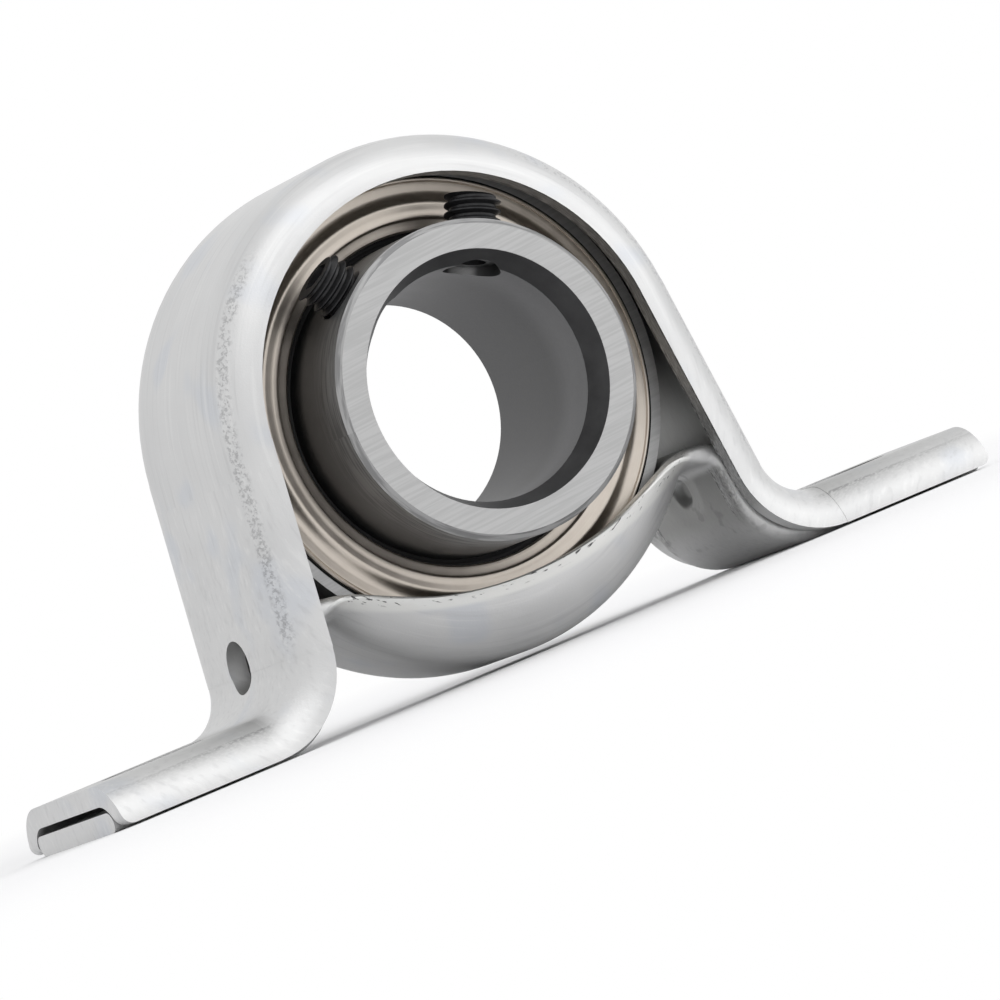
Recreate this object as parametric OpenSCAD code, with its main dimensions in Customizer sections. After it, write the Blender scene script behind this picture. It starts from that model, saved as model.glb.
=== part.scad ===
// Pillow block bearing in a two-piece pressed-steel strap housing.
// The base runs along X, the shaft along Y with the set-screw end at -Y, and Z is up.
// The origin lies on the mounting plane, midway between the foot bolts, under the shaft centre.

/* [Housing] */
// Height of the shaft centre above the mounting plane
shaft_h = 28.6; // [28.3:0.1:32]
// Length of the feet from end to end
foot_span = 108; // [102:1:120]
// Distance between the two foot bolts
bolt_pitch = 86; // [84:1:90]
// Diameter of the holes for the foot bolts
bolt_d = 11.5; // [8:0.5:12]
// Width of the upper strap along the shaft
strap_w = 28; // [26:0.5:32]
// Thickness of the strap steel
sheet_t = 2.2; // [1.8:0.1:2.4]
// Outer radius of the upper strap's curled edges
curl_r = 5.5; // [4.8:0.1:5.8]
// Outer radius of the cradle's curled edges
cradle_curl_r = 6; // [5:0.5:7]
// How far the upper strap's curled edge reaches in from its outside
upper_lip = 4.9; // [4.6:0.1:5.1]
// How far the cradle's curled edge reaches up at its lowest point
cradle_lip = 7.1; // [6.5:0.1:7.2]
// Distance of the cradle edge's arc centre above the shaft
cradle_arc_rise = 22.8; // [18:0.2:24]
// Lean of the legs away from upright, in degrees
leg_lean = 6.5; // [4:0.5:10]
// Outer radius of the bend between leg and foot
foot_bend_r = 5; // [4:0.5:7]
// Radius of the lower strap's bend between leg and foot, on its underside
lower_bend_r = 8; // [7:0.5:10]
// Clearance between the upper strap's curled edges and the lower strap between them
nest_clear = 0.8; // [0.7:0.1:1.2]
// Width of the spherical seat in the straps
seat_w = 17.2; // [17:0.1:18]
// Gap between the two straps along the legs and feet
strap_gap = 0.8; // [0.5:0.1:1.2]
// Outer radius of the lower strap's crests beside the bearing
crest_r = 3.9; // [3.4:0.1:4.6]
// Radius of the upper strap's curled edge at the foot ends, seen from the side
edge_end_r = 1.2; // [0.6:0.1:2]

/* [Locating nubs] */
// Diameter of the round window in each upper leg
window_d = 5.7; // [5.2:0.1:7]
// Height of the windows and nubs above the mounting plane
nub_h = 10.6; // [10:0.1:12]
// Diameter of the pressed nubs on the lower strap
nub_d = 4.4; // [3.6:0.1:5]
// How far a nub stands out of the lower strap
nub_rise = 2; // [1:0.1:2.6]
// Wall thickness of the hollow nubs
nub_wall = 0.5; // [0.4:0.1:0.9]
// Depth of the hollow behind each nub
nub_hollow = 1.6; // [1:0.1:3]

/* [Rings] */
// Diameter of the shaft bore
bore_d = 25; // [24:0.1:26]
// Outer diameter of the inner ring
inner_d = 34; // [33:0.1:35]
// Overall length of the inner ring
inner_len = 27; // [24:0.5:30]
// Distance from the ball plane to the inner ring's front face
inner_front = 19.5; // [17.5:0.5:21]
// Chamfer at the back mouth of the bore
bore_chamfer = 0.8; // [0.4:0.1:1.2]
// How much wider the bore's front mouth is, on the radius
flare_w = 1.2; // [0.8:0.1:1.4]
// Length of the flare at the bore's front mouth
flare_len = 3; // [1:0.5:4]
// Outer, spherical diameter of the outer ring
outer_d = 52; // [51.5:0.1:52.5]
// Width of the outer ring
outer_w = 15; // [14:0.1:16]
// Width of the outer ring's rim around the seal recess
rim_w = 2.5; // [2:0.1:3]
// Depth of the seal recess
recess_t = 1.7; // [1.4:0.1:1.8]
// Small chamfer on the ring edges
edge_chamfer = 0.6; // [0.2:0.1:0.8]

/* [Balls and cage] */
// Number of balls
ball_count = 9; // [7:1:9]
// Diameter of a ball
ball_d = 7.938; // [7.4:0.001:7.94]
// Groove radius as a share of the ball diameter
groove_ratio = 0.52; // [0.515:0.005:0.54]
// Clearance between a ball and each groove
ball_clear = 0.03; // [0.02:0.01:0.06]
// Sheet thickness of the cage halves
cage_t = 0.7; // [0.5:0.05:0.8]
// Radial width of the cage
cage_w = 2.6; // [2:0.1:3]
// Clearance between a ball and its cage pocket
pocket_clear = 0.12; // [0.05:0.01:0.2]
// Diameter of the cage rivets
rivet_d = 1.2; // [1:0.1:1.4]
// Diameter of the rivet heads
rivet_head_d = 1.9; // [1.6:0.1:2.2]

/* [Seals] */
// Thickness of the pressed seal shields
shield_t = 0.45; // [0.3:0.05:0.5]
// Radial gap between the shield's inner edge and the inner ring
shield_gap = 0.75; // [0.6:0.05:1]
// Width of the ledge that the shield rests on
shield_ledge = 1; // [0.8:0.1:1.2]
// How far the shield's raised band is pressed outwards
shield_rise = 0.9; // [0.5:0.1:1.2]
// How far the inner land lies below the raised band
land_drop = 0.36; // [0.2:0.02:0.5]
// Width of the groove inside the shield's rim, as a share of the shield's width
groove_share = 0.16; // [0.12:0.01:0.2]
// Width of the slope between groove and raised band, as a share of the shield's width
slope_share = 0.18; // [0.15:0.01:0.22]
// Width of the raised band, as a share of the shield's width
band_share = 0.28; // [0.2:0.01:0.32]
// Width of the step between raised band and inner land, as a share of the shield's width
step_share = 0.12; // [0.08:0.01:0.14]
// Thickness of the rubber lip at its root
lip_t = 0.6; // [0.4:0.1:0.8]
// Thickness of the rubber lip at its tip
lip_tip_t = 0.3; // [0.2:0.05:0.4]
// Running clearance between the rubber lip and the inner ring
lip_clear = 0.05; // [0.02:0.01:0.1]

/* [Set screws] */
// Thread diameter of the set screws
screw_d = 6; // [5:0.5:6]
// Length of the set screws
screw_len = 7; // [6:0.5:7]
// Distance of the screws from the inner ring's front face
screw_inset = 5; // [4.5:0.1:6]
// Radius at which the outer ends of the backed-out screws lie
screw_reach = 20.2; // [19.6:0.1:20.2]
// Direction of the first screw, from +X towards +Z, in degrees
screw_angle = 65; // [0:1:120]
// Angle between the two screws
screw_split = 60; // [60:5:120]
// Size of the hexagon socket across its flats
socket_af = 3; // [2.5:0.5:3]
// Radial clearance of a screw in its hole
screw_clear = 0.05; // [0.02:0.01:0.1]

/* [Hidden] */
$fn = 96;

// Running clearance of the spherical seat
seat_clear = 0.02;
// How deep the spherical seat is coined into the straps
seat_depth = 0.32;
// Overshoot of cutting shapes
over = 1;
// How far a bend laps into its neighbour, and how much thinner it is there on each face
lap = 0.1;
thin = 0.03;

ball_r = ball_d / 2;
groove_r = groove_ratio * ball_d;
sphere_r = outer_d / 2;
bore_r = bore_d / 2;
pitch_r = (bore_r + sphere_r) / 2;

// Radii of the crown and cradle, measured from the shaft centre
crown_in = sphere_r + seat_clear - seat_depth;
crown_out = crown_in + sheet_t;
cradle_edge_r = crown_out - cradle_lip + cradle_arc_rise;

// Heights in the foot: lower plate, gap, upper plate
foot_top = 2 * sheet_t + strap_gap;
half_span = foot_span / 2;

// Width of the lower strap, which lies between the upper strap's curled edges
nest_w = strap_w - 2 * (sheet_t + nest_clear);

// Centre of the bend between leg and foot, relative to the shaft centre
bend_z = foot_top + foot_bend_r - shaft_h;
bend_x = (crown_out + foot_bend_r - bend_z * sin(leg_lean)) / cos(leg_lean);

// The lower leg's two faces, measured square to the leg from the shaft centre
lower_out = crown_in - strap_gap;
lower_in = lower_out - sheet_t;

// Centre of the lower strap's crest, relative to the shaft centre
crest_dist = crown_in + crest_r;
crest_turn = acos((lower_out - crest_r) / crest_dist);
crest_angle = leg_lean - crest_turn;
crest_x = crest_dist * cos(crest_angle);
crest_z = crest_dist * sin(crest_angle);

// Centre of the lower strap's bend, relative to the shaft centre
lower_bend_z = lower_bend_r - shaft_h;
lower_bend_x = (lower_in + lower_bend_r - lower_bend_z * sin(leg_lean)) / cos(leg_lean);

// Straight stretches between the bends, measured down along the leg
upper_leg_len = bend_x * sin(leg_lean) - bend_z * cos(leg_lean);
lower_leg_start = crest_x * sin(leg_lean) - crest_z * cos(leg_lean);
lower_leg_len = lower_bend_x * sin(leg_lean) - lower_bend_z * cos(leg_lean) - lower_leg_start;

// Distance of the window and nub down along the leg
nub_along = (crown_out * sin(leg_lean) + shaft_h - nub_h) / cos(leg_lean);

screw_r = screw_d / 2;
screw_y = -inner_front + screw_inset;
rivet_r = rivet_d / 2;
rivet_clear = 0.02;
pocket_r = ball_r + pocket_clear;
inner_back = inner_len - inner_front;
face_y = outer_w / 2;
face_r = sqrt(sphere_r * sphere_r - face_y * face_y);
recess_r = face_r - rim_w;
land_r = inner_d / 2;
shoulder_r = recess_r - shield_ledge;
shield_in = land_r + shield_gap;
shield_w = recess_r - shield_in;
shield_land_r = recess_r - (groove_share + slope_share + band_share + step_share) * shield_w;

steel = "gainsboro";
ground = "silver";
champagne = "tan";
black = "dimgray";

// Places children on the shaft centre, with the local XY plane standing up along X and Z
module at_shaft() {
  translate([0, 0, shaft_h]) rotate([90, 0, 0]) children();
}

// Places a revolved profile on the shaft: the profile's x is the radius and its y runs towards -Y
module around_shaft() {
  at_shaft() rotate_extrude() children();
}

// Outline of a strap with both edges curled: x runs inwards from the outer face, y along the shaft
module curl_outline(width, curl, depth, inset) {
  straight = width / 2 - curl;
  translate([inset, -straight]) square([depth - inset, 2 * straight]);
  intersection() {
    for (side = [-1, 1]) {
      translate([curl, side * straight]) circle(curl - inset);
    }
    translate([0, -width / 2]) square([min(depth, curl), width]);
  }
  if (depth > curl) {
    translate([curl, -width / 2 + inset]) square([depth - curl, width - 2 * inset]);
  }
}

// Cross-section of a strap whose curled edges reach in by depth
module strap_section(width, curl, depth, thinner = 0) {
  difference() {
    curl_outline(width, curl, depth - thinner, thinner);
    curl_outline(width, curl, depth + over, sheet_t - thinner);
  }
}

// Cross-section of the lower strap's crests, legs and feet: a flat sheet with rounded edges
module nested_section(thinner = 0) {
  edge_y = (nest_w - sheet_t) / 2;
  translate([thinner, -edge_y]) square([sheet_t - 2 * thinner, 2 * edge_y]);
  for (side = [-1, 1]) {
    translate([sheet_t / 2, side * edge_y]) circle(sheet_t / 2 - thinner);
  }
}

// Sweeps a cross-section about an upright axis, its outer face at the given radius.
// With turned = true the curled edges point away from the axis. Each end laps into its neighbour.
module bend(radius, from, sweep, turned = false, laps = lap) {
  lap_angle = laps / radius * 180 / PI;
  rotate([0, 0, from - lap_angle]) rotate_extrude(angle = sweep + 2 * lap_angle) {
    translate([radius, 0]) mirror([turned ? 0 : 1, 0]) children();
  }
}

// Runs a cross-section straight along +Y from the local origin, its outer face at x = 0
module run(length) {
  rotate([-90, 0, 0]) linear_extrude(length) children();
}

// Draws children on the right-hand side and mirrors them to the left
module both_sides() {
  children();
  mirror([1, 0, 0]) children();
}

// Frame of a leg: local +X points outwards through the leg, local -Y down along it
module leg_frame() {
  rotate([0, 0, leg_lean]) children();
}

// Cross-section of the upper strap
module upper_section(thinner = 0) {
  strap_section(strap_w, curl_r, upper_lip, thinner);
}

// Leg, bend and foot of the upper strap on the right
module upper_leg() {
  leg_frame() translate([crown_out, 0]) rotate([0, 0, 180]) run(upper_leg_len) {
    upper_section();
  }
  translate([bend_x, bend_z]) bend(foot_bend_r, 180 + leg_lean, 90 - leg_lean, turned = true) {
    upper_section(thin);
  }
  translate([bend_x, foot_top - shaft_h]) rotate([0, 0, -90]) run(half_span - bend_x) {
    upper_section();
  }
}

// What the rounded end of the upper strap's curled edges leaves away at the foot end
module edge_end() {
  translate([half_span - edge_end_r, foot_top - upper_lip - shaft_h]) {
    linear_extrude(strap_w + 2 * over, center = true) difference() {
      translate([0, -over]) square([edge_end_r + over, edge_end_r + over]);
      translate([0, edge_end_r]) circle(edge_end_r);
    }
  }
}

// Window through the upper leg for the lower strap's nub
module leg_window() {
  leg_frame() translate([crown_out - 2 * sheet_t, -nub_along]) rotate([0, 90, 0]) {
    cylinder(h = 4 * sheet_t, d = window_d);
  }
}

// Holes for the foot bolts
module bolt_holes() {
  for (side = [-1, 1]) {
    translate([side * bolt_pitch / 2, 0, -over]) cylinder(h = foot_top + 2 * over, d = bolt_d);
  }
}

// The space of the outer ring's sphere, coined into the straps as its seat
module ring_seat() {
  at_shaft() intersection() {
    sphere(sphere_r + seat_clear);
    cylinder(h = seat_w, r = outer_d, center = true);
  }
}

module upper_strap() {
  color(steel) difference() {
    at_shaft() {
      bend(crown_out, leg_lean, 180 - 2 * leg_lean) upper_section(thin);
      both_sides() difference() {
        upper_leg();
        edge_end();
        leg_window();
      }
    }
    bolt_holes();
    ring_seat();
  }
}

// Crest beside the bearing, where the sheet turns over from the cradle to the leg
module crest() {
  translate([crest_x, crest_z]) {
    bend(crest_r - sheet_t, leg_lean, 180 - crest_turn, turned = true) nested_section(thin);
  }
}

// Crest, leg, bend and foot of the lower strap on the right
module lower_leg() {
  crest();
  leg_frame() translate([lower_out, -lower_leg_start]) {
    rotate([0, 0, 180]) run(lower_leg_len) nested_section();
  }
  translate([lower_bend_x, lower_bend_z]) {
    bend(lower_bend_r - sheet_t, 180 + leg_lean, 90 - leg_lean, turned = true) nested_section(thin);
  }
  translate([lower_bend_x, sheet_t - shaft_h]) rotate([0, 0, -90]) run(half_span - lower_bend_x) {
    nested_section();
  }
}

// Stub along local +X from the lower leg's inner face, with a bevelled tip
module nub(diameter, length) {
  bevel = diameter / 8;
  leg_frame() translate([lower_in, -nub_along]) rotate([0, 90, 0]) {
    cylinder(h = length - bevel, d = diameter);
    translate([0, 0, length - bevel]) cylinder(h = bevel, d1 = diameter, d2 = diameter - 2 * bevel);
  }
}

module lower_strap() {
  color(steel) difference() {
    at_shaft() {
      difference() {
        bend(crown_out, 180 - crest_angle, 180 + 2 * crest_angle, laps = 0) {
          strap_section(nest_w, cradle_curl_r, cradle_lip);
        }
        translate([0, cradle_arc_rise]) {
          cylinder(h = strap_w, r = cradle_edge_r, center = true);
        }
      }
      both_sides() difference() {
        union() {
          lower_leg();
          nub(nub_d, sheet_t + nub_rise);
        }
        nub(nub_d - 2 * nub_wall, nub_hollow);
      }
    }
    bolt_holes();
    ring_seat();
  }
}

// Half section of a ball groove, to cut out of a ring
module groove(centre_r) {
  translate([centre_r, 0]) circle(groove_r);
}

module outer_ring() {
  color(ground) around_shaft() difference() {
    intersection() {
      circle(sphere_r);
      translate([shoulder_r, -face_y]) square([sphere_r, outer_w]);
    }
    groove(pitch_r + ball_r + ball_clear - groove_r);
    for (side = [-1, 1]) {
      translate([0, side * (face_y - recess_t / 2 + over / 2)]) {
        square([2 * recess_r, recess_t + over], center = true);
      }
    }
  }
}

module inner_ring() {
  c = bore_chamfer;
  e = edge_chamfer;
  color(ground) difference() {
    around_shaft() difference() {
      polygon([
        [bore_r, -inner_back + c], [bore_r + c, -inner_back],
        [land_r - e, -inner_back], [land_r, -inner_back + e],
        [land_r, inner_front - e], [land_r - e, inner_front],
        [bore_r + flare_w, inner_front], [bore_r, inner_front - flare_len]
      ]);
      groove(pitch_r - ball_r - ball_clear + groove_r);
    }
    for (i = [0, 1]) {
      screw_axis(i) cylinder(h = land_r + over, r = screw_r + screw_clear);
    }
  }
}

// Line of a set screw: local +Z points outwards from the shaft centre
module screw_axis(i) {
  translate([0, screw_y, shaft_h]) rotate([0, 90 - screw_angle - i * screw_split, 0]) children();
}

// Turns children to a place on the ball circle: local +Z stays along the shaft
module on_pitch(turn) {
  at_shaft() rotate([0, 0, turn]) translate([pitch_r, 0, 0]) children();
}

module ball(i) {
  color(ground) on_pitch(90 + i * 360 / ball_count) sphere(ball_r);
}

// One half of the ribbon cage, on the +Z side of the ball plane
module cage_half() {
  difference() {
    intersection() {
      union() {
        cylinder(h = cage_t, r = pitch_r + cage_w / 2);
        for (i = [0 : ball_count - 1]) {
          rotate([0, 0, 90 + i * 360 / ball_count]) translate([pitch_r, 0, 0]) sphere(pocket_r + cage_t);
        }
      }
      difference() {
        cylinder(h = ball_d, r = pitch_r + cage_w / 2);
        translate([0, 0, -over]) cylinder(h = ball_d + 2 * over, r = pitch_r - cage_w / 2);
      }
    }
    for (i = [0 : ball_count - 1]) {
      rotate([0, 0, 90 + i * 360 / ball_count]) translate([pitch_r, 0, 0]) sphere(pocket_r);
      rotate([0, 0, 90 + (i + 0.5) * 360 / ball_count]) translate([pitch_r, 0, -over]) {
        cylinder(h = cage_t + 2 * over, r = rivet_r + rivet_clear);
      }
    }
  }
}

module cage_front() {
  color("goldenrod") at_shaft() cage_half();
}

module cage_back() {
  color("goldenrod") at_shaft() mirror([0, 0, 1]) cage_half();
}

// Rivets through both cage halves, one between each pair of balls
module cage_rivets() {
  head_t = rivet_d / 3;
  color("darkgoldenrod") for (i = [0 : ball_count - 1]) {
    on_pitch(90 + (i + 0.5) * 360 / ball_count) {
      cylinder(h = 2 * cage_t, r = rivet_r, center = true);
      for (side = [0, 1]) {
        mirror([0, 0, side]) translate([0, 0, cage_t]) cylinder(h = head_t, d = rivet_head_d);
      }
    }
  }
}

// Profile of a pressed seal shield, its outer side towards +y
module shield_profile() {
  rim_r = recess_r - shield_t / 2;
  floor_y = face_y - recess_t + shield_t / 2;
  band_y = floor_y + shield_rise;
  slope_r = recess_r - groove_share * shield_w;
  band_r = slope_r - slope_share * shield_w;
  step_r = band_r - band_share * shield_w;
  path = [
    [rim_r, face_y - shield_t], [rim_r, floor_y], [slope_r, floor_y], [band_r, band_y],
    [step_r, band_y], [shield_land_r, band_y - land_drop], [shield_in, band_y - land_drop]
  ];
  for (i = [0 : len(path) - 2]) {
    hull() {
      translate(path[i]) circle(shield_t / 2, $fn = 24);
      translate(path[i + 1]) circle(shield_t / 2, $fn = 24);
    }
  }
}

module seal_shield_front() {
  color(champagne) around_shaft() shield_profile();
}

module seal_shield_back() {
  color(champagne) around_shaft() mirror([0, 1]) shield_profile();
}

// Profile of the rubber lip that sits under the shield's inner land and leans out to the ring
module lip_profile() {
  root_y = face_y - recess_t + shield_rise - land_drop;
  lean_r = shield_in - lip_tip_t;
  tip_r = land_r + lip_clear;
  polygon([
    [shield_land_r, root_y], [lean_r, root_y], [tip_r, root_y + lip_tip_t],
    [tip_r, root_y], [lean_r, root_y - lip_t], [shield_land_r, root_y - lip_t]
  ]);
}

module seal_lip_front() {
  color(black) around_shaft() lip_profile();
}

module seal_lip_back() {
  color(black) around_shaft() mirror([0, 1]) lip_profile();
}

// Set screw with a cup point inwards and a hexagon socket outwards
module set_screw(i) {
  point_t = screw_d / 6;
  socket_t = screw_len / 2;
  inner_end = screw_reach - screw_len;
  color(black) screw_axis(i) translate([0, 0, inner_end]) difference() {
    union() {
      cylinder(h = point_t, r1 = screw_r - point_t, r2 = screw_r);
      translate([0, 0, point_t]) cylinder(h = screw_len - point_t, r = screw_r);
    }
    translate([0, 0, -over]) cylinder(h = over + point_t / 2, r1 = screw_r, r2 = point_t / 2);
    translate([0, 0, screw_len - socket_t]) cylinder(h = socket_t + over, d = socket_af / cos(30), $fn = 6);
  }
}

upper_strap();
lower_strap();
outer_ring();
inner_ring();
ball(0);  // ball_1
ball(1);  // ball_2
ball(2);  // ball_3
ball(3);  // ball_4
ball(4);  // ball_5
ball(5);  // ball_6
ball(6);  // ball_7
ball(7);  // ball_8
ball(8);  // ball_9
cage_front();
cage_back();
cage_rivets();
seal_shield_front();
seal_shield_back();
seal_lip_front();
seal_lip_back();
set_screw(0);  // set_screw_1
set_screw(1);  // set_screw_2
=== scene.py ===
"""Pillow block bearing: two pressed zinc-coated straps around a sealed ball bearing with two set screws."""

import math
from collections import namedtuple

import bmesh
import bpy
from mathutils import Matrix, Vector


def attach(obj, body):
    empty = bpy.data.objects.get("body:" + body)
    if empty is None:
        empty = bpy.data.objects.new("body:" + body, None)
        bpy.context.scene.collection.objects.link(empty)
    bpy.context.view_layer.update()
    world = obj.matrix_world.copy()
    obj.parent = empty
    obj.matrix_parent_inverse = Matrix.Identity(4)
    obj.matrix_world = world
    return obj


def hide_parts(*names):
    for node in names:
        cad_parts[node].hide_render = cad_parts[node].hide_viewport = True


MM = 0.001

# Place of the shaft centre and of the rings' front faces, in millimetres
SHAFT_HEIGHT = 28.6
INNER_FRONT = -19.5
OUTER_FRONT = -7.5

# The set screws, in millimetres, and their directions from +X towards +Z, in degrees
SCREW_RADIUS = 3.0
SCREW_LENGTH = 7.0
SCREW_REACH = 20.2
SCREW_Y = INNER_FRONT + 5.0
SCREW_TURNS = {"set_screw_1": 65, "set_screw_2": 125}
SCREW_BODIES = {"set_screw_1": "screw_1", "set_screw_2": "screw_2"}
SOCKET_FLATS = 3.0
SOCKET_DEPTH = SCREW_LENGTH / 2
CUP_RADIUS = SCREW_RADIUS / 2
CUP_RISE = 1.0
THREAD_PITCH = 1.0
THREAD_DEPTH = 0.55
THREAD_FOOT = 0.12
THREAD_CREST = 0.44

# The straps: sheet, widths, and the place and size of the bolt holes
SHEET = 2.2
UPPER_WIDTH = 28.0
LOWER_WIDTH = 22.0
BOLT_PLACE = 43.0
BOLT_HOLE = 11.5

# The lower strap's outline along the shaft: cradle, crest, leg, bend and foot
CRADLE_RADIUS = 27.9
CREST_RADIUS = 3.9
STRAP_GAP = 0.8
LEG_LEAN = math.radians(6.5)
LOWER_BEND_RADIUS = 8.0
FOOT_END = 54.0

# Its curled edge: radius at the sheet's middle, and the arc that cuts the cradle's lip
CURL_MIDDLE = 4.9
OUTER_CURL = CURL_MIDDLE + SHEET / 2
LIP_LOWEST = 7.1
LIP_ARC_RISE = 22.8
LIP_ARC_RADIUS = CRADLE_RADIUS - LIP_LOWEST + LIP_ARC_RISE
LIP_ALLOWANCE = 0.5

# How the lip runs out over the crest
LIP_FILL = 0.45
LIP_FILL_FROM = math.radians(-62)
LIP_FADE = math.radians(24)
CURL_FADE = math.radians(70)
SQUARE_CURL = math.radians(50)
SQUARENESS = 0.6
EASE_PASSES = 40
EASE_FROM = 8.0
EASE_FULL = 10.0
EASE_FADE = 5
EASED_CRADLE = 12
EASED_CREST = 18

# The spherical seat in the cradle, and the room that the tilting shields need inside the curl
SEAT_RADIUS = 26.02
SEAT_HALF_WIDTH = 9.25
TILT_ROOM = 0.5

# The nub pressed out of each lower leg, the hollow behind it and the shallow dish around that
NUB_X = 26.06
NUB_HEIGHT = 9.9
NUB_RADIUS = 2.1
NUB_RISE = 1.0
NUB_EDGE = 0.25
HOLLOW_DEPTH = 0.8
HOLLOW_SLOPE = 1.3
DISH_RADIUS = 4.6
DISH_SLOPE = 2.4
DISH_DEPTH = 0.15

# The seal shields: sheet, rolled rim, inner edge, and the black band of painted shade around the rim, where
# the gap lies
SHIELD_SHEET = 0.35
SHIELD_RIM = 23.55
SHIELD_BORE = 17.85
SHIELD_GAP_SHADE = (SHIELD_RIM + 0.02, SHIELD_RIM + 0.2)

# How finely the pieces are drawn
SPIN_STEPS = 144
THREAD_STEPS = 32
HOLE_SIDES = 96
SECTION_STEPS = 40
CAP_STEPS = 8
CRADLE_STEPS = 30
CREST_STEPS = 30
LEG_STEPS = 14
BEND_STEPS = 16
FOOT_STEPS = 12
SHARP_ANGLE = math.radians(28)
MERGE_DISTANCE = 1e-4
JOIN_DISTANCE = 1e-3

# The floor: its radius in metres, and how far from the object its grey runs out to white, in millimetres
FLOOR_RADIUS = 6.0
FLOOR_SIDES = 96
FLOOR_NEAR = 75
FLOOR_FAR = 240

# Camera: what it looks at, from where, and how far it is rolled
AIM = (4.99, 0.0, 16.46)
AZIMUTH = 25.06
ELEVATION = 0.07
ROLL = -22.28
DISTANCE = 848.3
FOCAL_PIXELS = 8000
IMAGE_PIXELS = 1000
SENSOR_WIDTH = 36.0

# A place along the lower strap: a point of the sheet's middle, the way its underside faces, the angle
# of its curl, the length of the straight lip after the curl, and the depth at which the edge is cut
Station = namedtuple("Station", "place underside curl lip cut")

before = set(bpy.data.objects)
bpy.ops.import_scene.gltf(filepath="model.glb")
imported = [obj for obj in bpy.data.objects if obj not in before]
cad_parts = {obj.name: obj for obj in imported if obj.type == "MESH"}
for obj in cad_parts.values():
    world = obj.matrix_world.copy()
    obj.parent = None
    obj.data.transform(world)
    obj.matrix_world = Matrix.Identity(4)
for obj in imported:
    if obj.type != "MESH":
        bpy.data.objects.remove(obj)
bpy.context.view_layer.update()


class Value:
    """A number on a shader socket. Arithmetic on it adds the Math nodes."""

    def __init__(self, finish, socket):
        self.finish = finish
        self.socket = socket

    def math(self, operation, *terms):
        inputs = dict(enumerate(terms))
        return self.finish.node("ShaderNodeMath", {"operation": operation}, inputs)

    def __add__(self, other):
        return self.math("ADD", self, other)

    __radd__ = __add__

    def __sub__(self, other):
        return self.math("SUBTRACT", self, other)

    def __rsub__(self, other):
        return self.math("SUBTRACT", other, self)

    def __mul__(self, other):
        return self.math("MULTIPLY", self, other)

    __rmul__ = __mul__

    def __truediv__(self, other):
        return self.math("DIVIDE", self, other)

    def __pow__(self, power):
        return self.math("POWER", self, power)

    def __abs__(self):
        return self.math("ABSOLUTE", self)


class Finish:
    """One material: a Principled shader and the nodes that feed it. Places are in millimetres."""

    def __init__(self, name, colour=(0.8, 0.8, 0.8), metallic=0.0, roughness=0.5):
        self.material = bpy.data.materials.new(name)
        self.material.use_nodes = True
        self.tree = self.material.node_tree
        self.shader = self.tree.nodes["Principled BSDF"]
        self.set("Base Color", (*colour, 1.0))
        self.set("Metallic", metallic)
        self.set("Roughness", roughness)
        where = self.node("ShaderNodeTexCoord", output="Object")
        scaled = {0: where, "Scale": 1 / MM}
        self.place = self.node("ShaderNodeVectorMath", {"operation": "SCALE"}, scaled)
        self.x, self.y, self.z = self.parts(self.place)
        rise = self.z - SHAFT_HEIGHT
        self.radius = (self.x * self.x + rise * rise) ** 0.5
        self.turn = self.x.math("ARCTAN2", rise, self.x)
        facing = self.node("ShaderNodeNewGeometry", output="Normal")
        self.facing_x, self.facing_y, self.facing_z = self.parts(facing)

    def node(self, kind, settings=None, inputs=None, output=0):
        node = self.tree.nodes.new(kind)
        for key, setting in (settings or {}).items():
            setattr(node, key, setting)
        for key, value in (inputs or {}).items():
            self.feed(node.inputs[key], value)
        return Value(self, node.outputs[output])

    def feed(self, socket, value):
        if isinstance(value, Value):
            self.tree.links.new(value.socket, socket)
        else:
            socket.default_value = value

    def set(self, socket, value):
        self.feed(self.shader.inputs[socket], value)

    def parts(self, vector):
        node = self.tree.nodes.new("ShaderNodeSeparateXYZ")
        self.feed(node.inputs[0], vector)
        return [Value(self, socket) for socket in node.outputs]

    def joined(self, x, y, z):
        return self.node("ShaderNodeCombineXYZ", None, {0: x, 1: y, 2: z})

    def noise(self, scale, detail=2.0, roughness=0.5, where=None):
        inputs = {"Vector": where or self.place, "Scale": scale, "Detail": detail, "Roughness": roughness}
        return self.node("ShaderNodeTexNoise", None, inputs, "Fac")

    def rise(self, value, low, high):
        """0 below low and 1 above high, with a smooth step between them. low may be above high."""
        inputs = {"Value": value, "From Min": low, "From Max": high}
        return self.node("ShaderNodeMapRange", {"interpolation_type": "SMOOTHSTEP"}, inputs)

    def band(self, value, low, high, soft):
        """1 between low and high, fading over soft on both sides."""
        return self.rise(value, low - soft, low) * self.rise(value, high + soft, high)

    def blend(self, mask, first, second):
        """The first colour where the mask is 0 and the second where it is 1."""
        node = self.tree.nodes.new("ShaderNodeMix")
        node.data_type = "RGBA"
        self.feed(node.inputs["Factor"], mask)
        for socket, colour in ((node.inputs[6], first), (node.inputs[7], second)):
            self.feed(socket, colour if isinstance(colour, Value) else (*colour, 1.0))
        return Value(self, node.outputs[2])

    def inwards(self):
        """1 where the surface faces the shaft, 0 where it faces along it and -1 where it faces away."""
        rise = self.z - SHAFT_HEIGHT
        return (self.facing_x * self.x + self.facing_z * rise) * -1.0 / self.radius

    def bump(self, height, depth):
        """Raises the surface by height times depth, in millimetres."""
        inputs = {"Height": height, "Distance": depth * MM, "Strength": 1.0}
        return self.node("ShaderNodeBump", None, inputs)

    def around(self, along, across, axial):
        """A place for patterns that run around the shaft. A larger number gives finer grain that way."""
        return self.joined(self.turn * along, self.radius * across, self.y * axial)


def grey(level):
    return (level, level, level)


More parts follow.
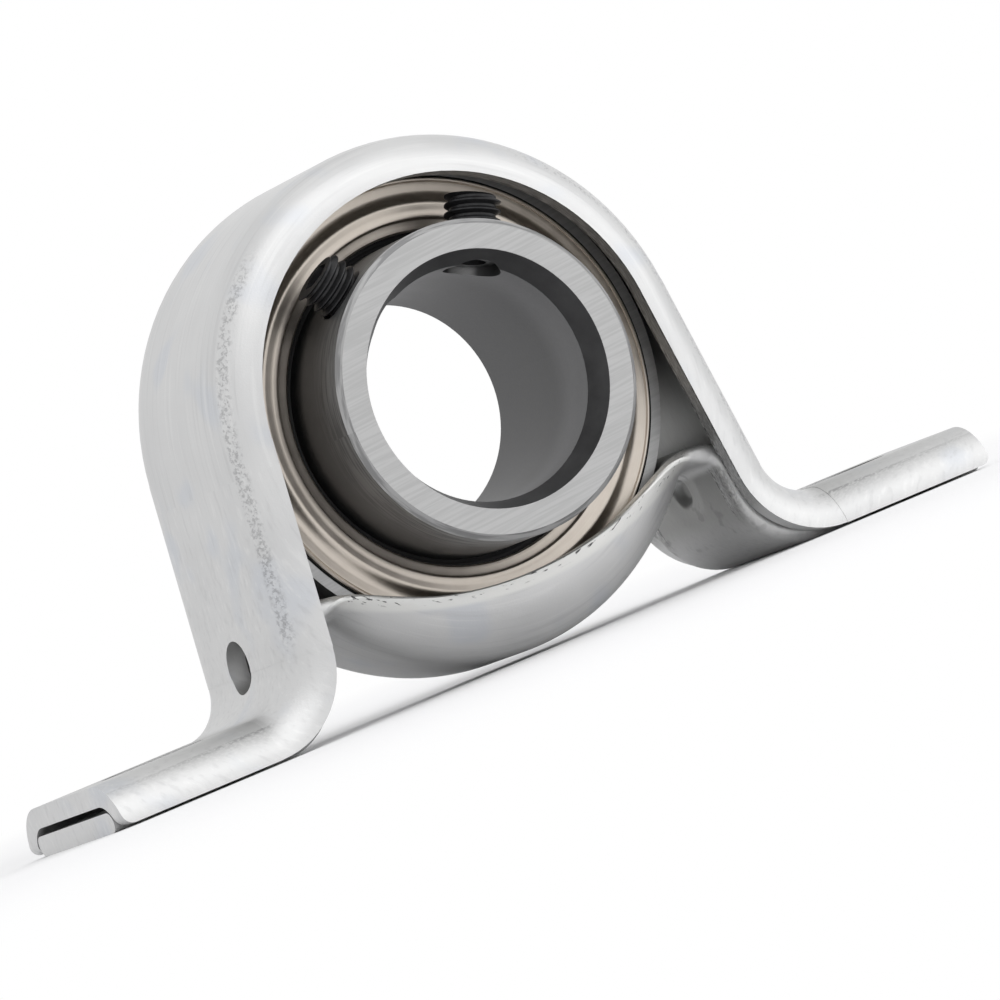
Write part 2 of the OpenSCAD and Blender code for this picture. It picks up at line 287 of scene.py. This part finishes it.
def zinc_finish(name, width, marks_and_painted_light):
    """Zinc-coated pressed sheet: satin and faintly mottled, with draw marks and painted shade on the faces
    towards the shaft.
    """
    zinc = Finish(name, metallic=0.8)
    cloud = zinc.noise(0.09, detail=3)
    grain = zinc.noise(5.0, detail=2, roughness=0.6)
    drawn = zinc.noise(1.0, detail=3, where=zinc.around(1.6, 1.4, 1.8))
    burr = zinc.noise(1.0, detail=3, where=zinc.around(16.0, 3.0, 6.0))
    bluish = zinc.rise(zinc.noise(0.16, detail=1), 0.56, 0.74)
    base = zinc.blend(cloud, (0.535, 0.537, 0.54), (0.67, 0.67, 0.667))
    base = zinc.blend(bluish * 0.5, base, (0.52, 0.545, 0.59))
    base = zinc.blend(zinc.rise(drawn, 0.54, 0.70) * 0.25, base, (0.42, 0.42, 0.425))
    base = zinc.blend(zinc.rise(drawn, 0.44, 0.30) * 0.35, base, (0.70, 0.70, 0.695))
    # Painted shade: the faces towards the shaft are darkened towards grey 0.20.
    inside = zinc.rise(zinc.inwards(), 0.2, 0.7)
    base = zinc.blend(inside * 0.72, base, (0.20, 0.20, 0.19))
    # The cut edge: a rough grey band as wide as the sheet, with a broken dark line along both sides
    inset = width / 2 - abs(zinc.y)
    cut = inside * zinc.rise(inset, SHEET + 0.1, SHEET - 0.1)
    lines = zinc.rise(inset, 0.45, 0.2) + zinc.rise(inset, 1.7, 2.0)
    edge = zinc.blend(zinc.rise(burr, 0.40, 0.62), grey(0.30), (0.48, 0.48, 0.475))
    edge = zinc.blend(lines * zinc.rise(burr, 0.60, 0.45) * 0.8, edge, grey(0.07))
    base = zinc.blend(cut, base, edge)
    base, relief = marks_and_painted_light(zinc, base, burr)
    zinc.set("Base Color", base)
    zinc.set("Roughness", 0.36 + 0.10 * cloud + 0.08 * grain)
    zinc.set("Normal", zinc.bump(0.5 * grain + 0.6 * drawn + relief + 1.2 * cut * burr, 0.03))
    return zinc.material


def leg_wear(zinc, base, _):
    """The upper strap's pitted line along the curl of each leg, where the sheet was stretched."""
    pits = zinc.rise(zinc.noise(2.2, detail=4, roughness=0.75), 0.48, 0.62)
    on_curl = zinc.band(abs(zinc.y), 11.6, 12.2, 0.6) * zinc.rise(zinc.radius, 25.2, 26.0)
    on_leg = zinc.rise(abs(zinc.x), 14.0, 20.0) * zinc.rise(zinc.z, 9.0, 13.0)
    pitted = on_curl * on_leg * pits
    return zinc.blend(pitted * 0.42, base, (0.20, 0.20, 0.205)), 1.2 * pitted


def cradle_specks_and_painted_light(zinc, base, burr):
    """The lower strap's painted highlight along the cradle's lip, with dark specks of burr, and painted
    shade on the inner faces of its legs.
    """
    drop = zinc.z - (SHAFT_HEIGHT + LIP_ARC_RISE)
    below_lip = (zinc.x * zinc.x + drop * drop) ** 0.5 - LIP_ARC_RADIUS
    on_lip = zinc.rise(abs(zinc.x), 23.5, 21.5) * zinc.rise(abs(zinc.y), 8.6, 9.4)
    painted_sheen = on_lip * zinc.rise(below_lip, 1.15, 0.6)
    specks = painted_sheen * zinc.rise(burr, 0.60, 0.68) * zinc.rise(below_lip, 0.5, 0.1)
    # Painted highlight: the band along the top of the cradle's lip is lightened towards 0.72; the dark
    # specks in it are burr.
    base = zinc.blend(painted_sheen * 0.8, base, (0.72, 0.72, 0.70))
    base = zinc.blend(specks, base, grey(0.10))
    # Painted shade: the inner faces of the legs are darkened, evenly and in blotches.
    leg_shade = zinc.rise(zinc.facing_x * zinc.x * -1.0, 2.0, 12.0)
    leg_shade = leg_shade * zinc.rise(zinc.z, 13.5, 11.0) * zinc.rise(zinc.z, 2.0, 4.0)
    shade_blotches = zinc.rise(zinc.noise(0.45, detail=2), 0.60, 0.68)
    base = zinc.blend(leg_shade * 0.12, base, (0.17, 0.17, 0.168))
    return zinc.blend(leg_shade * shade_blotches * 0.3, base, grey(0.10)), 0.5 * specks


def ring_finish(name, colour, front, gap_shade=None):
    """Bearing steel: ground faces with faint straight marks, and darker sides, with painted shade further
    behind the front face and a painted sheen near it.

    front is the front face's Y. The last argument is the inner and outer radius of a black band of painted
    shade on the face, where the gap lies.
    """
    ring = Finish(name, metallic=1.0)
    grain = ring.noise(4.0, detail=2)
    straight = ring.joined(ring.x * 0.12, ring.y * 0.5, (ring.z - ring.x * 0.09) * 4.0)
    marks = ring.noise(1.0, detail=3, where=straight)
    on_face = ring.rise(abs(ring.facing_y), 0.80, 0.95)
    cloud = ring.noise(0.30, detail=4, roughness=0.6)
    painted_sheen = ring.noise(1.0, detail=3, where=ring.around(3.0, 1.0, 2.4))
    behind_face = ring.y - front
    outside_bore = ring.rise(ring.radius, 14.5, 15.5)
    ground = ring.blend(ring.rise(marks, 0.35, 0.65), grey(0.41), grey(0.46))
    side = ring.blend(cloud, tuple(0.75 * c for c in colour), tuple(1.3 * c for c in colour))
    # Painted shade: the sides darken towards grey 0.05 further behind the front face.
    side = ring.blend(ring.rise(behind_face, 6.0, 12.0) * 0.5, side, grey(0.05))
    # Painted sheen: outside the bore the sides lighten towards grey 0.36 near the front face, streaked
    # around the shaft.
    painted_front_sheen = ring.rise(behind_face, 8.0, 0.6) * outside_bore
    painted_front_sheen = painted_front_sheen * (0.35 + 0.65 * ring.rise(painted_sheen, 0.42, 0.58))
    side = ring.blend(painted_front_sheen, side, grey(0.36))
    # Painted shade: a black band on the face where the gap lies.
    if gap_shade:
        ground = ring.blend(ring.band(ring.radius, *gap_shade, 0.05), ground, grey(0.01))
    ring.set("Base Color", ring.blend(on_face, side, ground))
    ring.set("Roughness", 0.40 + 0.10 * cloud + 0.06 * grain)
    ring.set("Normal", ring.bump(0.3 * marks * on_face + grain * (1.0 - on_face), 0.006))
    return ring.material


def shield_finish():
    """Pressed seal shield: warm champagne coat, brushed around the shaft."""
    shield = Finish("champagne_coat", metallic=1.0)
    brushed = shield.noise(1.0, detail=3, where=shield.around(1.0, 6.0, 6.0))
    cloud = shield.noise(0.5, detail=3)
    base = shield.blend(cloud, (0.50, 0.445, 0.385), (0.66, 0.60, 0.535))
    shield.set("Base Color", shield.blend(brushed * 0.4, base, (0.72, 0.67, 0.61)))
    shield.set("Roughness", 0.28 + 0.14 * cloud)
    shield.set("Normal", shield.bump(brushed, 0.006))
    return shield.material


def plain_steel(name, colour, roughness):
    """Plain pressed or polished steel of the hidden parts, with a faint grain."""
    steel = Finish(name, metallic=1.0)
    grain = steel.noise(1.4, detail=3)
    steel.set("Base Color", steel.blend(grain, tuple(0.85 * c for c in colour), colour))
    steel.set("Roughness", roughness + 0.08 * grain)
    steel.set("Normal", steel.bump(grain, 0.004))
    return steel.material


def rubber_finish():
    """Matt black nitrile rubber."""
    rubber = Finish("seal_rubber")
    grain = rubber.noise(3.0, detail=3)
    rubber.set("Base Color", rubber.blend(grain, grey(0.008), grey(0.02)))
    rubber.set("Roughness", 0.55 + 0.2 * grain)
    rubber.set("Normal", rubber.bump(grain, 0.01))
    return rubber.material


def oxide_finish():
    """Black-oxide screw steel: dark and a little uneven."""
    oxide = Finish("oxide_black", metallic=0.7)
    grain = oxide.noise(2.5, detail=3)
    oxide.set("Base Color", oxide.blend(grain, (0.012, 0.012, 0.013), (0.05, 0.05, 0.052)))
    oxide.set("Roughness", 0.32 + 0.2 * grain)
    oxide.set("Normal", oxide.bump(grain, 0.01))
    return oxide.material


def dress(material, *nodes):
    """Gives CAD nodes a finish through their material slots."""
    for name in nodes:
        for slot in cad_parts[name].material_slots:
            slot.material = material


def smooth(share):
    """Runs smoothly from 0 to 1 as the share does, and stays there beyond both."""
    share = min(1.0, max(0.0, share))
    return share * share * (3 - 2 * share)


def strap_edge(reach, flat, curl):
    """Depth, width and slope of the sheet's middle, a given way out from the middle of the strap."""
    if reach <= flat:
        return 0.0, reach, 0.0
    slope = min((reach - flat) / CURL_MIDDLE, curl)
    rest = reach - flat - CURL_MIDDLE * slope
    depth = CURL_MIDDLE * (1 - math.cos(slope)) + rest * math.sin(slope)
    return depth, flat + CURL_MIDDLE * math.sin(slope) + rest * math.cos(slope), slope


def strap_cap(depth, wide, slope, squareness):
    """Points around the sheet's edge, from its outer to its inner side: half round, or nearly square."""
    power, bulge = 1 - 0.7 * squareness, 1 - 0.75 * squareness
    sine, cosine = math.sin(slope), math.cos(slope)
    cap = []
    for step in range(1, CAP_STEPS):
        turn = math.pi * step / CAP_STEPS
        out = SHEET / 2 * bulge * math.sin(turn) ** power
        across = -SHEET / 2 * math.copysign(abs(math.cos(turn)) ** power, math.cos(turn))
        cap.append((depth + out * sine + across * cosine, wide + out * cosine - across * sine))
    return cap


def strap_section(station):
    """Closed outline of the lower strap at a station, as depth from the sheet's middle and width."""
    flat = LOWER_WIDTH / 2 - SHEET / 2 - CURL_MIDDLE * math.sin(station.curl)
    reach = flat + CURL_MIDDLE * station.curl + station.lip
    outer, inner = [], []
    for step in range(SECTION_STEPS + 1):
        depth, wide, slope = strap_edge(reach * step / SECTION_STEPS, flat, station.curl)
        lean, rise = SHEET / 2 * math.sin(slope), SHEET / 2 * math.cos(slope)
        outer.append((depth - rise, wide + lean))
        inner.append((depth + rise, wide - lean + TILT_ROOM * smooth(math.sin(slope))))
    cap = strap_cap(depth, wide, slope, SQUARENESS * smooth(station.curl / SQUARE_CURL))
    cap = [(depth, max(inner[-1][1], wide)) for depth, wide in cap]
    deepest = station.cut - SHEET / 2
    half = [(min(depth, deepest), wide) for depth, wide in outer + cap + inner[::-1]]
    return half[:-1] + [(depth, -wide) for depth, wide in half[::-1][:-1]]


def lip_depth(angle):
    """How deep the cradle's curled edge reaches in from the outside, where its arc cuts it off."""
    rise = LIP_ARC_RISE * math.sin(angle)
    return CRADLE_RADIUS - rise - math.sqrt(rise ** 2 + LIP_ARC_RADIUS ** 2 - LIP_ARC_RISE ** 2)


def direction(angle):
    return Vector((math.cos(angle), math.sin(angle)))


def uncurled(place, underside):
    return Station(place, underside, 0.0, 0.0, SHEET)


def lower_stations():
    """Stations along the right half of the lower strap, from under the shaft to the foot's end."""
    inner_radius = CRADLE_RADIUS - SHEET
    leg_face = inner_radius - STRAP_GAP
    crest_distance = inner_radius + CREST_RADIUS
    crest_turn = math.acos((leg_face - CREST_RADIUS) / crest_distance)
    crest_angle = LEG_LEAN - crest_turn
    crest_centre = crest_distance * direction(crest_angle)
    crest_middle = CREST_RADIUS - SHEET / 2
    bend_z = LOWER_BEND_RADIUS - SHAFT_HEIGHT
    bend_reach = leg_face - SHEET + LOWER_BEND_RADIUS
    bend_x = (bend_reach - bend_z * math.sin(LEG_LEAN)) / math.cos(LEG_LEAN)
    bend_centre = Vector((bend_x, bend_z))
    bend_middle = LOWER_BEND_RADIUS - SHEET / 2

    stations = []
    for step in range(CRADLE_STEPS):
        angle = -math.pi / 2 + (crest_angle + math.pi / 2) * step / CRADLE_STEPS
        way = direction(angle)
        depth = lip_depth(angle)
        curl = math.acos(max(0.0, 1 - depth / OUTER_CURL))
        lip = max(0.0, depth - OUTER_CURL)
        fill = LIP_FILL * smooth((angle - LIP_FILL_FROM) / (crest_angle - LIP_FILL_FROM))
        cut = depth + LIP_ALLOWANCE + fill
        stations.append(Station((CRADLE_RADIUS - SHEET / 2) * way, way, curl, lip, cut))

    cradle_end = stations[-1]
    for step in range(CREST_STEPS):
        turned = (math.pi - crest_turn) * step / CREST_STEPS
        way = direction(math.pi + crest_angle - turned)
        curl = cradle_end.curl * smooth(1 - turned / CURL_FADE)
        cut = SHEET + (cradle_end.cut - SHEET) * max(0.0, 1 - turned / LIP_FADE)
        stations.append(Station(crest_centre + crest_middle * way, -way, curl, 0.0, cut))

    outwards = direction(LEG_LEAN)
    down = direction(LEG_LEAN - math.pi / 2)
    top = crest_centre + crest_middle * outwards
    length = (bend_centre - bend_middle * outwards - top).dot(down)
    for step in range(LEG_STEPS):
        stations.append(uncurled(top + length * step / LEG_STEPS * down, -outwards))
    for step in range(BEND_STEPS):
        way = direction(math.pi + LEG_LEAN + (math.pi / 2 - LEG_LEAN) * step / BEND_STEPS)
        stations.append(uncurled(bend_centre + bend_middle * way, way))
    for step in range(FOOT_STEPS + 1):
        x = bend_x + (FOOT_END - bend_x) * step / FOOT_STEPS
        stations.append(uncurled(Vector((x, SHEET / 2 - SHAFT_HEIGHT)), Vector((0, -1))))
    return stations


def pressed(place, underneath):
    """Moves a point of the right leg outwards where the nub is pressed out of the sheet."""
    outwards = Vector((math.cos(LEG_LEAN), 0, math.sin(LEG_LEAN)))
    away = place - Vector((NUB_X, 0, NUB_HEIGHT - SHAFT_HEIGHT))
    along = away.dot(outwards)
    distance = (away - along * outwards).length
    on_leg = smooth((along + 2 * SHEET) / SHEET)
    if underneath:
        push = HOLLOW_DEPTH * smooth((NUB_RADIUS - distance) / HOLLOW_SLOPE)
        push += DISH_DEPTH * smooth((DISH_RADIUS - distance) / DISH_SLOPE)
    else:
        push = NUB_RISE * smooth((NUB_RADIUS + NUB_EDGE - distance) / (2 * NUB_EDGE))
    return place + push * on_leg * outwards


def strap_point(station, depth, wide):
    """A point of a station's outline in its place, with the nub and the seat pressed into it."""
    middle = station.place - station.underside * depth
    place = Vector((middle.x, wide, middle.y))
    if station.curl < SQUARE_CURL / 2:
        place = pressed(place, depth < 0)
    if abs(wide) < SEAT_HALF_WIDTH:
        radius = math.hypot(place.x, place.z)
        seat = math.sqrt(SEAT_RADIUS ** 2 - wide ** 2)
        if radius < seat:
            place.x, place.z = place.x * seat / radius, place.z * seat / radius
    return place + Vector((0, 0, SHAFT_HEIGHT))


def swept(outlines):
    """Draws the first closed outline, extrudes it from one outline to the next and closes the last."""
    mesh = bmesh.new()
    corners = [mesh.verts.new(place) for place in outlines[0]]
    ring = [mesh.edges.new(pair) for pair in zip(corners, corners[1:] + corners[:1])]
    for outline in outlines[1:]:
        made = set(bmesh.ops.extrude_edge_only(mesh, edges=ring)["geom"])
        corners = [next(e.other_vert(v) for e in v.link_edges if e.other_vert(v) in made) for v in corners]
        ring = [edge for edge in made if isinstance(edge, bmesh.types.BMEdge) and edge.is_boundary]
        for corner, place in zip(corners, outline):
            corner.co = place
    bmesh.ops.contextual_create(mesh, geom=ring)
    return mesh


def eased(outlines):
    """Evens out the strap's edges along the sweep where the cradle runs into the crest."""
    first, last = CRADLE_STEPS - EASED_CRADLE, CRADLE_STEPS + EASED_CREST
    for _ in range(EASE_PASSES):
        before = [[place.copy() for place in outline] for outline in outlines[first - 1:last + 2]]
        for row, outline in enumerate(outlines[first:last + 1], 1):
            share = smooth(min(row, len(before) - 1 - row) / EASE_FADE)
            for number, place in enumerate(outline):
                near_edge = smooth((abs(place.y) - EASE_FROM) / (EASE_FULL - EASE_FROM))
                middle = (before[row - 1][number] + before[row + 1][number]) / 2
                outline[number] = place.lerp(middle, 0.5 * share * near_edge)
    return outlines


def lower_strap(material):
    """The lower strap with its cradle edges running smoothly out over the crests."""
    outlines = [
        [strap_point(station, depth, wide) for depth, wide in strap_section(station)]
        for station in lower_stations()
    ]
    mesh = swept(eased(outlines))
    everything = mesh.verts[:] + mesh.edges[:] + mesh.faces[:]
    bmesh.ops.mirror(mesh, geom=everything, matrix=Matrix.Identity(4), merge_dist=JOIN_DISTANCE, axis="X")
    bmesh.ops.recalc_face_normals(mesh, faces=mesh.faces)
    bmesh.ops.transform(mesh, matrix=Matrix.Scale(MM, 4), verts=mesh.verts)
    strap = finished("lower_strap_pressed", mesh, material)
    for side in (-1, 1):
        drill(strap, Vector((side * BOLT_PLACE, 0, SHEET / 2)), BOLT_HOLE / 2, 2 * SHEET)
    return strap


def shield(name, side, material):
    """A pressed seal shield, spun about the shaft: rolled rim, flange, raised band and inner land.

    side is 1 for the front shield and -1 for the back one. Points are radius and height over the face.
    """
    rolled_rim = [(SHIELD_RIM, 0.06), (23.52, 0.30), (23.38, 0.40)]
    rolled_rim += [(23.22, 0.38), (23.13, 0.26), (23.04, 0.36)]
    flange = [(22.6, 0.34), (22.15, 0.28), (21.85, 0.30)]
    slope = [(21.5, 0.45), (21.2, 0.70), (20.95, 0.92), (20.75, 1.0), (20.5, 0.99)]
    band = [(20.1, 0.90), (19.7, 0.90), (19.4, 0.96), (19.22, 0.92), (19.08, 0.76), (18.98, 0.60)]
    land = [(18.8, 0.54), (18.4, 0.52), (18.05, 0.46), (SHIELD_BORE, 0.30)]
    outer = flange + slope + band + land
    inner = [(radius, height - SHIELD_SHEET) for radius, height in reversed(outer)]
    inner += [(22.35, 0.03), (SHIELD_RIM - 0.1, 0.02)]
    mesh = bmesh.new()
    points = [
        mesh.verts.new((radius, side * (OUTER_FRONT - height), 0))
        for radius, height in rolled_rim + outer + inner
    ]
    loop = [mesh.edges.new(pair) for pair in zip(points, points[1:] + points[:1])]
    bmesh.ops.spin(
        mesh, geom=points + loop, cent=(0, 0, 0), axis=(0, 1, 0), angle=2 * math.pi, steps=SPIN_STEPS,
        use_merge=True
    )
    bmesh.ops.remove_doubles(mesh, verts=mesh.verts, dist=MERGE_DISTANCE)
    bmesh.ops.recalc_face_normals(mesh, faces=mesh.faces)
    seat = Matrix.Scale(MM, 4) @ Matrix.Translation((0, 0, SHAFT_HEIGHT))
    bmesh.ops.transform(mesh, matrix=seat, verts=mesh.verts)
    return finished(name, mesh, material)


def drill(piece, place, radius, length):
    """Cuts an upright round hole through a piece."""
    mesh = bmesh.new()
    bmesh.ops.create_cone(
        mesh, cap_ends=True, segments=HOLE_SIDES, radius1=radius, radius2=radius, depth=length,
        matrix=Matrix.Translation(place)
    )
    bmesh.ops.transform(mesh, matrix=Matrix.Scale(MM, 4), verts=mesh.verts)
    drill_bit = finished("drill_bit", mesh, piece.data.materials[0])
    cut = piece.modifiers.new("hole", "BOOLEAN")
    cut.operation = "DIFFERENCE"
    cut.solver = "EXACT"
    cut.object = drill_bit
    drilled = piece.evaluated_get(bpy.context.evaluated_depsgraph_get())
    whole = bpy.data.meshes.new_from_object(drilled)
    piece.modifiers.clear()
    piece.data = whole
    bpy.data.objects.remove(drill_bit)


def boundary_near(mesh, height):
    """The open edges of a mesh that lie at a height along local Z."""
    return [
        edge
        for edge in mesh.edges
        if edge.is_boundary and all(abs(v.co.z - height) < JOIN_DISTANCE for v in edge.verts)
    ]


def cap_end(mesh, height, sides, radius, shift):
    """Closes an open end with a flat rim around a round or angular hole, whose floor is shifted along Z."""
    rim = boundary_near(mesh, height)
    place = Matrix.Translation((0, 0, height))
    made = bmesh.ops.create_circle(mesh, segments=sides, radius=radius, matrix=place)
    ring = list({edge for vert in made["verts"] for edge in vert.link_edges})
    bmesh.ops.bridge_loops(mesh, edges=rim + ring)
    sunk = bmesh.ops.extrude_edge_only(mesh, edges=ring)["geom"]
    verts = [item for item in sunk if isinstance(item, bmesh.types.BMVert)]
    bmesh.ops.translate(mesh, vec=(0, 0, shift), verts=verts)
    edges = [item for item in sunk if isinstance(item, bmesh.types.BMEdge) and item.is_boundary]
    bmesh.ops.contextual_create(mesh, geom=edges)


def threaded_screw(name, turn, material):
    """A headless screw with a real thread and a hexagon socket, local Z outwards from the shaft."""
    turns = math.ceil(SCREW_LENGTH / THREAD_PITCH) + 2
    root = SCREW_RADIUS - THREAD_DEPTH
    tooth = [
        (root, 0.0), (root, THREAD_FOOT), (SCREW_RADIUS, THREAD_CREST),
        (SCREW_RADIUS, 1 - THREAD_CREST), (root, 1 - THREAD_FOOT), (root, 1.0)
    ]
    mesh = bmesh.new()
    points = [mesh.verts.new((radius, 0, (share - 1) * THREAD_PITCH)) for radius, share in tooth]
    line = [mesh.edges.new(pair) for pair in zip(points, points[1:])]
    bmesh.ops.spin(
        mesh, geom=points + line, cent=(0, 0, 0), axis=(0, 0, 1), dvec=(0, 0, THREAD_PITCH / THREAD_STEPS),
        angle=2 * math.pi * turns, steps=THREAD_STEPS * turns, use_merge=False
    )
    bmesh.ops.remove_doubles(mesh, verts=mesh.verts, dist=MERGE_DISTANCE)
    for height, outwards in ((0.0, -1), (SCREW_LENGTH, 1)):
        everything = mesh.verts[:] + mesh.edges[:] + mesh.faces[:]
        bmesh.ops.bisect_plane(
            mesh, geom=everything, dist=1e-5, plane_co=(0, 0, height), plane_no=(0, 0, outwards),
            clear_outer=True
        )
    socket_radius = SOCKET_FLATS / 2 / math.cos(math.pi / 6)
    cap_end(mesh, 0.0, THREAD_STEPS, CUP_RADIUS, CUP_RISE)
    cap_end(mesh, SCREW_LENGTH, 6, socket_radius, -SOCKET_DEPTH)
    bmesh.ops.recalc_face_normals(mesh, faces=mesh.faces)
    lean = Matrix.Rotation(math.radians(90 - turn), 4, "Y")
    seat = Matrix.Translation((0, SCREW_Y, SHAFT_HEIGHT)) @ lean
    seat = seat @ Matrix.Translation((0, 0, SCREW_REACH - SCREW_LENGTH))
    bmesh.ops.transform(mesh, matrix=Matrix.Scale(MM, 4) @ seat, verts=mesh.verts)
    return finished(name, mesh, material)


def finished(name, mesh, material):
    """Turns a finished bmesh into a smooth-shaded object with sharp corners."""
    data = bpy.data.meshes.new(name)
    mesh.to_mesh(data)
    mesh.free()
    data.materials.append(material)
    for face in data.polygons:
        face.use_smooth = True
    data.set_sharp_from_angle(angle=SHARP_ANGLE)
    piece = bpy.data.objects.new(name, data)
    bpy.context.scene.collection.objects.link(piece)
    return piece


def set_camera():
    """Looks at the object level from the screw side, with the camera rolled as in the photograph."""
    azimuth, elevation = math.radians(AZIMUTH), math.radians(ELEVATION)
    level = math.cos(elevation)
    forward = Vector((math.sin(azimuth) * level, math.cos(azimuth) * level, -math.sin(elevation)))
    level_right = forward.cross(Vector((0, 0, 1))).normalized()
    roll = Matrix.Rotation(-math.radians(ROLL), 3, forward)
    right = roll @ level_right
    up = right.cross(forward)
    camera = bpy.data.objects.new("camera", bpy.data.cameras.new("camera"))
    camera.data.sensor_width = SENSOR_WIDTH
    camera.data.lens = FOCAL_PIXELS / IMAGE_PIXELS * SENSOR_WIDTH
    camera.data.clip_start, camera.data.clip_end = 0.05, 20
    place = Vector(AIM) * MM - forward * DISTANCE * MM
    turned = Matrix((right, up, -forward)).transposed().to_4x4()
    camera.matrix_world = Matrix.Translation(place) @ turned
    bpy.context.scene.collection.objects.link(camera)
    bpy.context.scene.camera = camera


def seen(tree):
    """1 for the rays that show the background: straight, mirrored or through glass."""
    paths = tree.nodes.new("ShaderNodeLightPath")
    total = paths.outputs["Is Camera Ray"]
    for kind in ("Is Glossy Ray", "Is Transmission Ray"):
        either = tree.nodes.new("ShaderNodeMath")
        either.operation = "MAXIMUM"
        tree.links.new(total, either.inputs[0])
        tree.links.new(paths.outputs[kind], either.inputs[1])
        total = either.outputs[0]
    return total


def set_floor():
    """A pale floor that keeps the shadow near the object and runs out to white far from it."""
    mesh = bmesh.new()
    bmesh.ops.create_circle(mesh, cap_ends=True, segments=FLOOR_SIDES, radius=FLOOR_RADIUS)
    pale = Finish("floor_pale", colour=grey(0.93), roughness=0.9)
    floor = finished("floor", mesh, pale.material)
    far = pale.rise((pale.x * pale.x + pale.y * pale.y) ** 0.5, FLOOR_NEAR, FLOOR_FAR)
    white = pale.node("ShaderNodeEmission", None, {"Color": (1, 1, 1, 1), "Strength": 1.0})
    shaded = Value(pale, pale.shader.outputs[0])
    factor = Value(pale, seen(pale.tree)) * far
    mixed = pale.node("ShaderNodeMixShader", None, {0: factor, 1: shaded, 2: white})
    pale.tree.links.new(mixed.socket, pale.tree.nodes["Material Output"].inputs["Surface"])


def set_world():
    """White for what the camera sees, and a softer studio grey as light on the object."""
    world = bpy.data.worlds.new("studio")
    bpy.context.scene.world = world
    world.use_nodes = True
    tree = world.node_tree
    plain = tree.nodes["Background"]
    plain.inputs["Color"].default_value = (0.80, 0.80, 0.81, 1)
    white = tree.nodes.new("ShaderNodeBackground")
    white.inputs["Color"].default_value = (1, 1, 1, 1)
    mixed = tree.nodes.new("ShaderNodeMixShader")
    tree.links.new(seen(tree), mixed.inputs[0])
    tree.links.new(plain.outputs[0], mixed.inputs[1])
    tree.links.new(white.outputs[0], mixed.inputs[2])
    tree.links.new(mixed.outputs[0], tree.nodes["World Output"].inputs["Surface"])


def soft_lamp(name, place, size, watts):
    """A soft square lamp that points at the shaft centre."""
    lamp = bpy.data.objects.new(name, bpy.data.lights.new(name, "AREA"))
    lamp.data.shape = "SQUARE"
    lamp.data.size = size
    lamp.data.energy = watts
    target = Vector((0, 0, SHAFT_HEIGHT)) * MM
    lamp.location = target + Vector(place)
    lamp.rotation_euler = (target - lamp.location).to_track_quat("-Z", "Y").to_euler()
    bpy.context.scene.collection.objects.link(lamp)


def light_studio():
    """A large key above the front and a lower fill from the right."""
    soft_lamp("key", (0.05, -0.55, 0.75), 0.9, 2.5)
    soft_lamp("fill", (0.7, -0.45, 0.25), 0.7, 1.5)
    bpy.context.scene.view_settings.view_transform = "Standard"


set_camera()
set_world()
set_floor()
light_studio()

dress(zinc_finish("zinc_coat_upper", UPPER_WIDTH, leg_wear), "upper_strap")
dress(ring_finish("inner_ring_steel", (0.15, 0.15, 0.153), INNER_FRONT), "inner_ring")
dress(ring_finish("outer_ring_steel", grey(0.30), OUTER_FRONT, SHIELD_GAP_SHADE), "outer_ring")
dress(rubber_finish(), "seal_lip_front", "seal_lip_back")
dress(plain_steel("ball_polish", (0.80, 0.81, 0.82), 0.06), *(f"ball_{n}" for n in range(1, 10)))
dress(plain_steel("cage_sheet", (0.60, 0.58, 0.54), 0.32), "cage_front", "cage_back", "cage_rivets")

strap = lower_strap(zinc_finish("zinc_coat_lower", LOWER_WIDTH, cradle_specks_and_painted_light))
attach(strap, "housing")
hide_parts("lower_strap")

champagne = shield_finish()
for node, side in (("seal_shield_front", 1), ("seal_shield_back", -1)):
    piece = shield(f"{node}_pressed", side, champagne)
    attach(piece, "bearing")
    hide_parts(node)

oxide = oxide_finish()
for node, turn in SCREW_TURNS.items():
    screw = threaded_screw(f"{node}_thread", turn, oxide)
    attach(screw, SCREW_BODIES[node])
    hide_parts(node)
